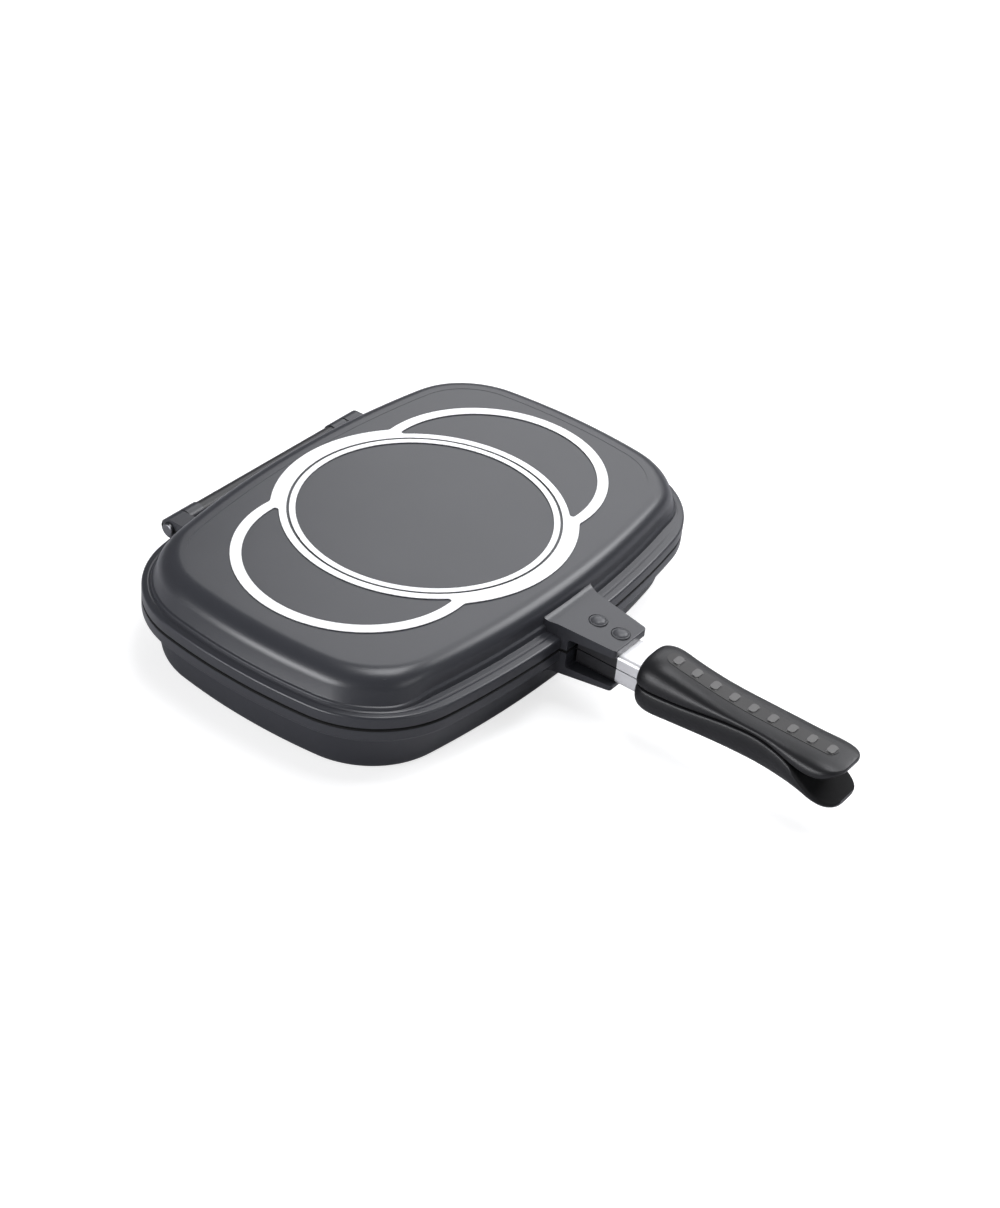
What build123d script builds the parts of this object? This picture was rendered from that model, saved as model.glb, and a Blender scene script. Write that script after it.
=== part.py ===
from build123d import *
import math
import os

# Double sided flip pan, in millimetres.
# +Z is up and the origin is the middle of the ring pattern that the closed pan stands on.
# The handles point to -Y, the hinge is on the +Y side.

# --- plan of the two pans ---
pan_length = 360.0          # over the rims, along X
pan_width = 251.0           # over the rims, along Y
long_side_radius = 705.0    # the long sides bow outwards on this radius
short_side_radius = 404.0   # the short sides bow outwards on this radius
corner_radius = 71.0

# --- heights ---
ring_height = 0.8           # raised ring pattern on both outer faces
lower_depth = 41.2          # outer face of the lower pan to the parting plane
upper_depth = 30.5          # parting plane to the outer face of the upper pan
rim_gap = 0.8               # gap between the two rims when closed

# --- rims and walls ---
wall = 3.6
rim_band = 8.0              # upright band of each rim, from the parting plane
rim_round = 0.8
upper_flange = 10.0         # width of the upper pan's flange outside its step
flange_rise = 1.6           # rise of the flange from its edge to the step
step_height = 3.8           # step between the flange and the upper wall
step_width = 2.2
step_lean = 0.4             # the step's face leans inwards by this
ledge_rise = 0.8            # rise of the narrow ledge on top of the step
upper_draft = 0.03          # sideways run of the upper wall for each millimetre of height
upper_shoulder = 11.0
lower_flange = 7.0          # width of the lower pan's flange outside its wall
lower_draft = 0.2
lower_shoulder = 8.0
inner_corner = 7.0          # rounding between floor and wall inside
floor_reach = 40.0          # the floors are flat inwards of this distance from the rim

# --- rim seal ---
seal_width = 4.4
seal_depth = 4.0
seal_inset = 4.4            # rim edge to the seal groove
seal_side_gap = 0.2
seal_top_gap = 0.3          # seal to the upper rim when closed
lower_rim_width = 12.5
upper_rim_width = 10.8
upper_rim_rebate = 4.6      # depth of the rebate beside the upper rim

# --- ring pattern ---
inner_ring_in = 82.0
inner_ring_out = 85.9
outer_ring_in = 87.7
outer_ring_thin = 92.4      # outer ring inside the lobes
outer_ring_wide = 98.0      # outer ring outside the lobes
lobe_offset = 66.0
lobe_in = 71.3
lobe_out = 78.4
ring_outer_blend = 5.0
ring_inner_blend = 2.0

# --- grill ribs inside the upper pan ---
rib_pitch = 16.0
rib_width = 5.0
rib_height = 2.6
rib_length = 176.0
ribbed_width = 290.0

# --- front brackets ---
bracket_reach = 162.0       # origin to the outer end
bracket_root_width = 43.0
bracket_end_width = 33.0
bracket_taper_start = 122.0
bracket_flare = 6.0         # extra half width that the flares reach inside the wall
bracket_flare_blend = 8.0
bracket_root_height = 17.9  # outer face above or below the parting plane, near the pan
bracket_end_height = 15.0
bracket_block_end = 130.0   # the solid block beside the rim ends here
bracket_corner = 2.5
bracket_edge = 0.8
bracket_wall_blend = 8.0
bracket_skin = 2.2          # the blends reach this deep into the walls
bracket_block_lift = 1.0    # the block's root starts this far beyond the rim's rebate
upper_lean = 0.42           # the blends lean into the rounded walls by this
lower_lean = 0.32
rim_root = 3.0              # the blocks are rooted this deep in the rims

# --- handle tangs, folded steel channels ---
upper_tang_face = 9.6       # outer face of the web above the parting plane
lower_tang_face = 11.4      # and below it, on the lower tang
tang_parting_gap = 0.8      # between the legs of the two tangs when closed
tang_width = 25.0
tang_sheet = 2.0
tang_bend = 1.2
tang_start_gap = 2.4
channel_end = 196.0         # the channel ends here and its web goes on as a tongue
tongue_width = 15.0
tongue_end = 226.0
tang_fit = 0.1              # clearance round the tang in the grip

# --- rivets ---
rivet_places = (137.0, 154.0)
rivet_head_radius = 5.8
rivet_collar_height = 1.3
rivet_dome_radius = 3.7
rivet_head_height = 2.8
rivet_seat_depth = 0.9      # the heads sit in shallow spot faces
rivet_seat_gap = 0.4
spot_depth = 4.0            # the spot faces are cut from this far above their seats
rivet_shank_radius = 3.0
rivet_tail_radius = 4.6
rivet_tail_height = 1.8
rivet_fit = 0.02

# --- grips: places are distances from their front ---
grip_start = 178.0          # origin to the front of both grips
upper_grip_length = 141.5
lower_grip_length = 142.3
grip_gap = 0.8              # between the two halves when closed
grip_bulb = 19.2            # half widths
grip_waist = 15.6
grip_tail = 19.0
bulb_height = 18.2          # outer faces above the parting plane
waist_height = 10.8
tail_height = 10.8
arch_height = 5.0           # the parting line rises by this at the waist
arch_dip = 0.5              # and drops by this near the tail
lower_bulb_depth = 20.2     # outer face of the lower grip below the parting plane
lower_waist_depth = 17.9
lower_tail_depth = 17.8
lip_droop = 3.0             # and the lip's outer face droops by this at its end
lip_droop_start = 118.0
arch_start = 20.0
bulb_place = 13.0
waist_place = 83.0
dip_place = 122.0
tail_curl = 0.016           # the upper grip's tail curls up by this times the run squared
lip_start = 104.0
lip_opening = 14.5          # the lower grip's inner face drops away by this at its lip
front_run = 11.0            # rounded ends
tail_run = 16.0
front_bluntness = 0.76
tail_width_bluntness = 0.34
upper_tail_bluntness = 0.5
lower_tail_bluntness = 0.55
middle_spans = 11           # even steps between the rounded ends where sections stand
grip_edge = 2.0             # rounding beside the parting faces
thin_edge_share = 0.35      # but at most this share of a thin section
upper_fullness = 0.75       # 1 is an ellipse, smaller is boxier
lower_fullness = 0.62
strip_width = 11.0
strip_thickness = 1.6
strip_proud = 0.25
strip_fit = 0.05
strip_start = 11.0
strip_end = 131.0
mark_count = 9
mark_length = 5.0
mark_width = 7.6
mark_height = 0.7
mark_start = 18.5
mark_pitch = 13.6

# --- grip screws, magnet and keeper ---
screw_places = (204.0, 216.0)
screw_radius = 2.0
screw_head_radius = 3.8
screw_head_height = 2.3
screw_bite = 1.3            # thread beyond the tang
screw_recess = 0.5          # heads below the parting face
screw_fit = 0.05
screw_land = 0.3            # straight edge of the head
screw_slot_width = 1.0
screw_slot_depth = 1.4
screw_slot_length = 4.6
screw_mouth = 3.0           # the clearance is open this far beyond the head
magnet_radius = 6.0
magnet_height = 5.0
keeper_height = 1.6
magnet_recess = 0.3
magnet_fit = 0.1

# --- hinge ---
hinge_offset = 7.0          # axis beyond the rim, at the middle of the back
knuckle_radius = 7.0
outer_knuckle_end = 93.0
knuckle_length = 13.5
inner_knuckle_length = 12.5
washer_thickness = 0.8
sleeve_radius = 6.2         # tube round the rod between the inner knuckles
sleeve_gap = 0.2
washer_gap = 0.1
washer_radius = 5.6
rod_radius = 3.0
rod_fit = 0.02
bearing_fit = 0.06
cap_radius = 4.6
cap_height = 2.4
knuckle_root = 2.0          # the arms reach this far into the rim

# --- derived places ---
half_length = pan_length / 2
half_width = pan_width / 2
parting = ring_height + lower_depth
base_face = ring_height
top_face = parting + upper_depth
lower_rim = parting - rim_gap / 2
upper_rim = parting + rim_gap / 2
hinge_y = half_width + hinge_offset
magnet_place = grip_start + waist_place
side_plane = Plane(origin=(0, 0, 0), x_dir=(0, 1, 0), z_dir=(1, 0, 0))
UP = (Align.CENTER, Align.CENTER, Align.MIN)
DOWN = (Align.CENTER, Align.CENTER, Align.MAX)
inner_knuckle_end = outer_knuckle_end - knuckle_length - washer_thickness - 2 * washer_gap


def rounded_face(corners):
    """Flat face from corners (x, y, radius)."""
    points = [(x, y) for x, y, _ in corners]
    radii = [radius for _, _, radius in corners]
    return make_face(FilletPolyline(*points, radius=radii, close=True))


def outline_arcs():
    """The eight tangent arcs of the rim as (centre, radius, start angle, sweep)."""
    long_centre = half_width - long_side_radius
    short_centre = half_length - short_side_radius
    long_run = long_side_radius - corner_radius
    short_run = short_side_radius - corner_radius
    span = math.hypot(short_centre, long_centre)
    along = (span**2 + long_run**2 - short_run**2) / (2 * span)
    across = math.sqrt(long_run**2 - along**2)
    ux = short_centre / span
    uy = -long_centre / span
    corner_x = ux * along - uy * across
    corner_y = long_centre + uy * along + ux * across
    if corner_x < 0 or corner_y < 0:
        corner_x = ux * along + uy * across
        corner_y = long_centre + uy * along - ux * across
    end_half = math.degrees(math.atan2(corner_y, corner_x - short_centre))
    side_start = math.degrees(math.atan2(corner_y - long_centre, corner_x))
    corner_sweep = side_start - end_half
    side_sweep = 180 - 2 * side_start
    arcs = []
    for turn, sx, sy in ((0, 1, 1), (180, -1, -1)):
        arcs.append(((sx * short_centre, 0), short_side_radius, turn - end_half, 2 * end_half))
        start = turn + end_half
        arcs.append(((sx * corner_x, sy * corner_y), corner_radius, start, corner_sweep))
        arcs.append(((0, sy * long_centre), long_side_radius, turn + side_start, side_sweep))
        start = turn + 180 - side_start
        arcs.append(((-sx * corner_x, sy * corner_y), corner_radius, start, corner_sweep))
    return arcs


def rim_y(x, inset=0.0):
    """Distance of the long side from the X axis, at x, inset from the rim."""
    radius = long_side_radius - inset
    return half_width - long_side_radius + math.sqrt(radius**2 - x**2)


def outline_face(inset, height):
    """Face inside the rim outline, inset by a distance, at a height."""
    edges = []
    for centre, radius, start, sweep in outline_arcs():
        plane = Plane((centre[0], centre[1], height))
        edges.append(Edge.make_circle(radius - inset, plane, start, start + sweep))
    return Face(Wire(edges))


def swept_rim(corners):
    """Solid with one section all round the rim; corners are (inset from the rim, height, radius)."""
    pieces = []
    for centre, radius, start, sweep in outline_arcs():
        angle = math.radians(start)
        plane = Plane(
            origin=(centre[0], centre[1], 0),
            x_dir=(math.cos(angle), math.sin(angle), 0),
            z_dir=(math.sin(angle), -math.cos(angle), 0),
        )
        section = plane * rounded_face([(radius - d, z, r) for d, z, r in corners])
        axis = Axis((centre[0], centre[1], 0), (0, 0, 1))
        pieces.append(revolve(section, axis, sweep))
    return pieces


def fused(pieces):
    """All pieces as one clean solid."""
    return pieces[0].fuse(*pieces[1:]).clean()


def lower_shell():
    """Lower pan without its ring pattern, bracket and knuckles."""
    under = lower_rim - rim_band
    base_inset = lower_flange + lower_draft * (under - base_face)
    floor = base_face + wall
    groove_floor = lower_rim - seal_depth
    section = [
        (0, lower_rim, rim_round),
        (0, under, 2 * rim_round),
        (lower_flange, under - flange_rise, 2.5),
        (base_inset, base_face, lower_shoulder),
        (floor_reach, base_face, 0),
        (floor_reach, floor, 0),
        (base_inset + wall, floor, inner_corner),
        (lower_rim_width, lower_rim, rim_round),
        (seal_inset + seal_width, lower_rim, 0),
        (seal_inset + seal_width, groove_floor, 0.5),
        (seal_inset, groove_floor, 0.5),
        (seal_inset, lower_rim, 0),
    ]
    plate = extrude(outline_face(floor_reach, base_face), wall)
    return swept_rim(section) + [plate]


def upper_shell():
    """Upper pan without its ring pattern, grill ribs, bracket and knuckles."""
    band_top = upper_rim + rim_band
    flange_top = band_top + flange_rise
    wall_inset = upper_flange + step_width
    top_inset = wall_inset + upper_draft * (top_face - flange_top)
    ceiling = top_face - wall
    rebate = upper_rim + upper_rim_rebate
    section = [
        (0, upper_rim, rim_round),
        (0, band_top, 2 * rim_round),
        (upper_flange, flange_top, 0.5),
        (upper_flange + step_lean, flange_top + step_height, 1.2),
        (wall_inset, flange_top + step_height + ledge_rise, 0.8),
        (top_inset, top_face, upper_shoulder),
        (floor_reach, top_face, 0),
        (floor_reach, ceiling, 0),
        (top_inset + wall, ceiling, inner_corner),
        (wall_inset + wall, rebate, 2.0),
        (upper_rim_width, rebate, 1.5),
        (upper_rim_width, upper_rim, rim_round),
    ]
    plate = extrude(outline_face(floor_reach, ceiling), wall)
    return swept_rim(section) + [plate]


def ring_pattern(height):
    """Two rings and two side lobes, raised upwards from a height."""
    lobes = [Pos(side * lobe_offset, 0) for side in (-1, 1)]
    pattern = Circle(outer_ring_wide) - Circle(outer_ring_in)
    for place in lobes:
        pattern -= place * Circle(lobe_out)
    pattern += Circle(outer_ring_thin) - Circle(outer_ring_in)
    for place in lobes:
        pattern += place * (Circle(lobe_out) - Circle(lobe_in)) - Circle(outer_ring_in)
    for reach, radius in ((outer_ring_wide, ring_outer_blend), (outer_ring_thin, ring_inner_blend)):
        joints = [
            v
            for v in pattern.vertices()
            if abs(math.hypot(v.X, v.Y) - reach) < 0.1 and abs(v.Y) > ring_outer_blend
        ]
        pattern = fillet(joints, radius)
    pattern += Circle(inner_ring_out) - Circle(inner_ring_in)
    return extrude(Pos(0, 0, height) * pattern, ring_height)


def mirrored(shape):
    """The same shape on the other side of the parting plane."""
    return mirror(shape, Plane.XY.offset(parting))


def grill_ribs():
    """Round-ended ribs along Y on the ceiling of the upper pan."""
    count = 2 * int(ribbed_width / 2 / rib_pitch) + 1
    ribs = []
    for i in range(count):
        x = (i - (count - 1) / 2) * rib_pitch
        foot = Pos(x, 0, top_face - wall) * Rot(0, 0, 90) * SlotOverall(rib_length, rib_width)
        ribs.append(extrude(foot, -rib_height, taper=12))
    return ribs


def bracket_plan(low, high):
    """Prism of the bracket's plan, with a flare where the plate meets the wall."""
    root = bracket_root_width / 2
    end = bracket_end_width / 2
    inner = half_width - 2 * upper_rim_width
    corners = [
        (end, -bracket_reach, bracket_corner),
        (root, -bracket_taper_start, bracket_flare_blend),
        (root + bracket_flare, -inner, 0),
    ]
    corners += [(-x, y, r) for x, y, r in reversed(corners)]
    return extrude(Pos(0, 0, low) * rounded_face(corners), high - low)


def plate_slope():
    """Rise of the plate's outer face for each millimetre towards the pan."""
    return (bracket_root_height - bracket_end_height) / (bracket_reach - bracket_taper_start)


def plate_height(place):
    """Height of the plate's outer face above the parting plane."""
    return bracket_end_height + plate_slope() * (bracket_reach - place)


def bracket(wall_inset, wall_lean, face):
    """Upper bracket: a sloping plate on a block beside the rim, blended into the pan's wall."""
    wall_y = half_width - wall_inset
    corner = parting + plate_height(wall_y)
    climb = bracket_wall_blend
    skin = bracket_skin
    lean = wall_lean * climb
    seam = upper_rim + upper_rim_rebate + bracket_block_lift
    side = [
        (-wall_y + skin, seam, 0),
        (-wall_y + skin, corner, 0),
        (-wall_y + skin + lean, corner + climb, 0),
        (-wall_y + lean, corner + climb, 0),
        (-wall_y, corner, 0.85 * bracket_wall_blend),
        (-bracket_reach, parting + bracket_end_height, bracket_edge),
        (-bracket_reach, parting + face, bracket_edge),
        (-bracket_block_end, parting + face, 2.0),
        (-bracket_block_end, upper_rim, 0),
        (-half_width + rim_root, upper_rim, 0),
        (-half_width + rim_root, seam, 0),
    ]
    body = extrude(side_plane * rounded_face(side), bracket_root_width, both=True)
    return body & bracket_plan(parting, top_face)


def revolved(corners, place):
    """Solid turned about the upright axis at (0, -place); corners are (radius, height, round)."""
    return Pos(0, -place, 0) * revolve(Plane.XZ * rounded_face(corners), Axis.Z)


def rivet_holes(place):
    """Spot face and bore of one rivet through the upper bracket and tang."""
    seat = parting + plate_height(place) - rivet_seat_depth
    spot = Pos(0, -place, seat) * Cylinder(rivet_head_radius + rivet_seat_gap, spot_depth, align=UP)
    bore = Pos(0, -place, parting) * Cylinder(rivet_shank_radius, upper_depth, align=UP)
    return [spot, bore]


def rivet(place, face):
    """Upper rivet: domed head on the bracket, upset tail inside the tang's channel."""
    seat = parting + plate_height(place) - rivet_seat_depth
    web = parting + face - tang_sheet
    shank = rivet_shank_radius - rivet_fit
    top = seat + rivet_head_height
    low = web - rivet_tail_height
    dome = [
        (0, low, 0),
        (0.6 * rivet_tail_radius, low, 0.4),
        (rivet_tail_radius, low + 0.6 * rivet_tail_height, 0.4),
        (rivet_tail_radius, web, 0),
        (shank, web, 0),
        (shank, seat, 0),
        (rivet_head_radius, seat, 0),
        (rivet_head_radius, seat + rivet_collar_height, 0.8),
        (rivet_dome_radius, seat + rivet_collar_height, 0.6),
        (0.7 * rivet_dome_radius, top, 1.2),
        (0, top, 0),
    ]
    return revolved(dome, place)


def tang(fit, face):
    """Upper tang: a channel open towards the parting plane, then a flat tongue."""
    top = parting + face + fit
    half = tang_width / 2 + fit
    leg = parting + tang_parting_gap / 2 - fit
    under = top - tang_sheet - 2 * fit
    inside = half - tang_sheet - 2 * fit
    start = bracket_block_end + tang_start_gap
    channel = [
        (half, leg, 0),
        (half, top, tang_sheet + tang_bend),
        (-half, top, tang_sheet + tang_bend),
        (-half, leg, 0),
        (-inside, leg, 0),
        (-inside, under, tang_bend),
        (inside, under, tang_bend),
        (inside, leg, 0),
    ]
    back = Plane(origin=(0, -start, 0), x_dir=(1, 0, 0), z_dir=(0, -1, 0))
    body = extrude(back * rounded_face(channel), channel_end - start + fit)
    width = tongue_width / 2 + fit
    tip = -tongue_end - fit
    tongue = [
        (width, -channel_end + tongue_width / 2, 0),
        (width, tip, tongue_width / 3),
        (-width, tip, tongue_width / 3),
        (-width, -channel_end + tongue_width / 2, 0),
    ]
    tongue_face = Pos(0, 0, under) * rounded_face(tongue)
    return body + extrude(tongue_face, top - under)


def eased(start, end, share):
    """Half a cosine wave from one value to another."""
    share = min(max(share, 0.0), 1.0)
    return start + (end - start) * (1 - math.cos(math.pi * share)) / 2


def fading(start, end, share):
    """A quick start that settles into the end value."""
    share = min(max(share, 0.0), 1.0)
    return start + (end - start) * math.sin(math.pi / 2 * share)


def parting_line(place):
    """Height of the wavy parting line of the grips above the parting plane."""
    if place < waist_place:
        return eased(0, arch_height, (place - arch_start) / (waist_place - arch_start))
    return eased(arch_height, -arch_dip, (place - waist_place) / (dip_place - waist_place))


def grip_half_width(place, length):
    """Half width of a grip, at a distance from its front, without the rounded ends."""
    if place < bulb_place:
        return grip_bulb
    if place < waist_place:
        return fading(grip_bulb, grip_waist, (place - bulb_place) / (waist_place - bulb_place))
    return eased(grip_waist, grip_tail, (place - waist_place) / (length - tail_run - waist_place))


def grip_back(place, bulb, waist, tail):
    """Distance of a grip's back from the parting plane, without the rounded ends."""
    if place < bulb_place:
        return bulb
    if place < waist_place:
        return fading(bulb, waist, (place - bulb_place) / (waist_place - bulb_place))
    return eased(waist, tail, (place - waist_place) / (dip_place - waist_place))


def lower_back(place):
    """Distance of the lower grip's back from the parting plane, with the drooping lip."""
    share = (place - lip_droop_start) / (lower_grip_length - lip_droop_start)
    depth = grip_back(place, lower_bulb_depth, lower_waist_depth, lower_tail_depth)
    return depth + lip_droop * max(share, 0.0) ** 2


def upper_under(place):
    """Underside of the upper grip: the parting line, then a curl up at the tail."""
    curl = max(place - dip_place, 0.0)
    return parting_line(place) + grip_gap / 2 + tail_curl * curl**2


def lower_top(place):
    """Inner face of the lower grip: the parting line, then a drop to the open lip."""
    share = (place - lip_start) / (lower_grip_length - lip_start)
    return parting_line(place) - grip_gap / 2 - eased(0, lip_opening, share)


def grip_section(place, half, flat, crown, fullness):
    """Section across a grip: a flat on the parting side and a full curve over the back."""
    side = 1 if crown > flat else -1
    edge = min(grip_edge, thin_edge_share * abs(crown - flat))
    shoulder = flat + side * edge
    bend = edge * (1 - math.sqrt(0.5))
    points = [(half - edge, flat), (half - bend, flat + side * bend)]
    for step in range(9):
        turn = math.pi * step / 8
        x = half * math.copysign(abs(math.cos(turn)) ** fullness, math.cos(turn))
        z = shoulder + (crown - shoulder) * abs(math.sin(turn)) ** fullness
        points.append((x, z))
    points += [(-half + bend, flat + side * bend), (-half + edge, flat)]
    plane = Plane(origin=(0, -grip_start - place, parting), x_dir=(1, 0, 0), z_dir=(0, -1, 0))
    return plane * make_face(Spline(*points) + Line(points[-1], points[0]))


def grip_loft(stations, fullness):
    """Solid through sections; stations are (place, half width, flat height, crown height)."""
    return loft([grip_section(*station, fullness) for station in stations], ruled=False)


def end_round(place, length, tail_bluntness):
    """Shrink factor of the sections near the two rounded ends of a grip."""
    front = min(place / front_run, 1.0)
    back = min((length - place) / tail_run, 1.0)
    full_front = front_bluntness + (1 - front_bluntness) * math.sqrt(front * (2 - front))
    full_back = tail_bluntness + (1 - tail_bluntness) * math.sqrt(back * (2 - back))
    return min(full_front, full_back)


def rounded_half_width(place, length):
    """Half width of a grip with its rounded ends."""
    return end_round(place, length, tail_width_bluntness) * grip_half_width(place, length)


def station_places(length):
    """Distances from the front where the grip's sections stand, closer at the rounded ends."""
    middle = length - front_run - tail_run
    places = [front_run * share for share in (0, 0.12, 0.4)]
    places += [front_run + middle * i / middle_spans for i in range(middle_spans + 1)]
    places += [length - tail_run * share for share in (0.5, 0.2, 0.05, 0)]
    return places


def upper_grip_body():
    length = upper_grip_length
    stations = []
    for place in station_places(length):
        flat = upper_under(place)
        back = grip_back(place, bulb_height, waist_height, tail_height)
        crown = flat + end_round(place, length, upper_tail_bluntness) * (back - flat)
        stations.append((place, rounded_half_width(place, length), flat, crown))
    return grip_loft(stations, upper_fullness)


def lower_grip_body():
    length = lower_grip_length
    stations = []
    for place in station_places(length):
        flat = lower_top(place)
        back = -lower_back(place)
        crown = flat + end_round(place, length, lower_tail_bluntness) * (back - flat)
        stations.append((place, rounded_half_width(place, length), flat, crown))
    return grip_loft(stations, lower_fullness)


def strip_prism(inset):
    """Upright prism of the strip's round-ended plan."""
    length = strip_end - strip_start
    middle = -grip_start - (strip_start + strip_end) / 2
    slot = SlotOverall(length - 2 * inset, strip_width - 2 * inset, rotation=90)
    return extrude(Pos(0, middle, parting) * slot, lower_tail_depth + bulb_height, both=True)


def strip_marks():
    """Upright prisms of the raised cross marks."""
    marks = []
    for i in range(mark_count):
        place = grip_start + mark_start + i * mark_pitch
        mark = RectangleRounded(mark_width, mark_length, 0.4 * mark_length)
        height = lower_tail_depth + bulb_height
        marks.append(extrude(Pos(0, -place, parting) * mark, height, both=True))
    return marks


def strip_and_pocket(body, side):
    """Grip strip let into the back of a grip, and the pocket it lies in."""
    floor = Pos(0, 0, -side * strip_thickness) * body
    reach = upper_grip_length + lower_grip_length
    half = Box(reach, reach, reach, align=UP if side > 0 else DOWN)
    half_space = Pos(0, -grip_start, parting) * half
    pocket = (strip_prism(0) & body & half_space) - floor
    skin = Pos(0, 0, side * strip_proud) * body
    strip = strip_prism(strip_fit) & skin & half_space
    raised = Pos(0, 0, side * (strip_proud + mark_height)) * body & half_space
    for mark in strip_marks():
        strip += mark & raised
    return strip - floor, pocket


def screw(place, face, side, tang_face):
    """Countersunk screw from the parting face of a grip through its tang; 1 is the upper side."""
    tip = tang_face + screw_bite
    profile = [
        (0, face, 0),
        (screw_head_radius, face, 0),
        (screw_head_radius, face + screw_land, 0),
        (screw_radius, face + screw_head_height, 0),
        (screw_radius, tip - 0.6, 0),
        (screw_radius - 0.6, tip, 0),
        (0, tip, 0),
    ]
    body = revolved([(r, parting + z, c) for r, z, c in profile], place)
    for angle in (0, 90):
        slot = Box(screw_slot_width, screw_slot_length, screw_slot_depth, align=UP)
        body -= Pos(0, -place, parting + face) * Rot(0, 0, angle) * slot
    return body if side > 0 else mirrored(body)


def screw_hole(place, face, side, tang_face):
    """Clearance for the screw's head, cone and thread, open at the parting face."""
    tip = tang_face + screw_bite + screw_fit
    fit = screw_fit
    profile = [
        (0, face - screw_mouth, 0),
        (screw_head_radius + fit, face - screw_mouth, 0),
        (screw_head_radius + fit, face + screw_land + fit, 0),
        (screw_radius + fit, face + screw_head_height + fit, 0),
        (screw_radius + fit, tip, 0),
        (0, tip, 0),
    ]
    body = revolved([(r, parting + z, c) for r, z, c in profile], place)
    return body if side > 0 else mirrored(body)


def screw_face(place, side):
    """Where a screw's head lies, as a distance from the parting plane."""
    from_front = place - grip_start
    line = upper_under(from_front) if side > 0 else -lower_top(from_front)
    return line + screw_recess


def disc(radius, height, low, place):
    """Upright disc standing on a height above the parting plane."""
    return Pos(0, -place, parting + low) * Cylinder(radius, height, align=UP)


def x_cylinder(radius, start, end):
    """Cylinder on the hinge axis between two places along X."""
    length = end - start
    return Pos((start + end) / 2, hinge_y, parting) * Rot(0, 90, 0) * Cylinder(radius, length)


def knuckle(start, end):
    """Upper pan's knuckle between two places along X, with its arm into the rim."""
    root = rim_y(end) - knuckle_root
    arm = [
        (root, upper_rim, 0),
        (hinge_y, upper_rim, 0),
        (hinge_y, parting + knuckle_radius, 0),
        (root, parting + knuckle_radius, 0),
    ]
    body = Pos(start, 0, 0) * extrude(side_plane * rounded_face(arm), end - start)
    return body + x_cylinder(knuckle_radius, start, end)


def both_sides(shape):
    """The shape and its copy on the other side of the YZ plane."""
    return [shape, mirror(shape, Plane.YZ)]


def upper_casting():
    """Upper pan: shell, rings, grill ribs, bracket and the two outer knuckles."""
    parts = upper_shell() + ring_pattern(top_face).solids() + grill_ribs()
    parts.append(bracket(upper_flange + step_width, upper_lean, upper_tang_face))
    parts += both_sides(knuckle(outer_knuckle_end - knuckle_length, outer_knuckle_end))
    body = fused(parts)
    for place in rivet_places:
        for hole in rivet_holes(place):
            body -= hole
    return body - x_cylinder(rod_radius + bearing_fit, -outer_knuckle_end, outer_knuckle_end)


def lower_casting():
    """Lower pan: shell, rings, bracket and the two inner knuckles."""
    rings = mirror(ring_pattern(0), Plane.XY)
    parts = lower_shell() + (Pos(0, 0, ring_height) * rings).solids()
    plate_inset = lower_flange + lower_draft * (bracket_root_height - rim_gap / 2 - rim_band)
    parts.append(mirrored(bracket(plate_inset, lower_lean, lower_tang_face)))
    end = inner_knuckle_end
    parts += [mirrored(arm) for arm in both_sides(knuckle(end - inner_knuckle_length, end))]
    body = fused(parts)
    for place in rivet_places:
        for hole in rivet_holes(place):
            body -= mirrored(hole)
    return body - x_cylinder(rod_radius + rod_fit, -outer_knuckle_end, outer_knuckle_end)


def rim_seal():
    """Sealing ring in the lower pan's groove."""
    floor = lower_rim - seal_depth
    top = upper_rim - seal_top_gap
    outer = seal_inset + seal_side_gap
    inner = seal_inset + seal_width - seal_side_gap
    section = [(outer, floor, 0.6), (outer, top, 1.4), (inner, top, 1.4), (inner, floor, 0.6)]
    return fused(swept_rim(section))


def drilled_tang(face):
    """Upper tang with its rivet and screw holes."""
    body = tang(0, face)
    for place in rivet_places:
        body -= disc(rivet_shank_radius, upper_depth, 0, place)
    for place in screw_places:
        body -= disc(screw_radius + screw_fit, upper_depth, 0, place)
    return body


def finished_grip(body, side, tang_face):
    """Grip with its pockets for the tang, screws, strip and magnet or keeper, and its strip."""
    strip, pocket = strip_and_pocket(body, side)
    sleeve = tang(tang_fit, tang_face)
    body -= sleeve if side > 0 else mirrored(sleeve)
    body -= pocket
    for place in screw_places:
        body -= screw_hole(place, screw_face(place, side), side, tang_face)
    return body, strip


def crest_face(side):
    """Distance of the grip's parting face from the parting plane at the magnet."""
    from_front = magnet_place - grip_start
    return upper_under(from_front) if side > 0 else lower_top(from_front)


def hinge_pieces():
    """Rod, its end caps, the wear washers and the tube between the inner knuckles."""
    rod_end = outer_knuckle_end + washer_gap
    cap = x_cylinder(cap_radius, rod_end, rod_end + cap_height)
    cap = fillet(cap.edges().sort_by(Axis.X)[-1], 0.6 * cap_height)
    start = inner_knuckle_end + washer_gap
    rod_space = x_cylinder(rod_radius + rod_fit, -outer_knuckle_end, outer_knuckle_end)
    washer = x_cylinder(washer_radius, start, start + washer_thickness) - rod_space
    half = inner_knuckle_end - inner_knuckle_length - sleeve_gap
    return {
        "hinge_rod": x_cylinder(rod_radius, -rod_end, rod_end),
        "hinge_caps": Compound(children=both_sides(cap)),
        "hinge_washers": Compound(children=both_sides(washer)),
        "hinge_sleeve": x_cylinder(sleeve_radius, -half, half) - rod_space,
    }


def tang_pieces():
    """Both tangs and their rivets."""
    upper = [rivet(place, upper_tang_face) for place in rivet_places]
    lower = [mirrored(rivet(place, lower_tang_face)) for place in rivet_places]
    return {
        "upper_tang": drilled_tang(upper_tang_face),
        "lower_tang": mirrored(drilled_tang(lower_tang_face)),
        "upper_rivets": Compound(children=upper),
        "lower_rivets": Compound(children=lower),
    }


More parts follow.
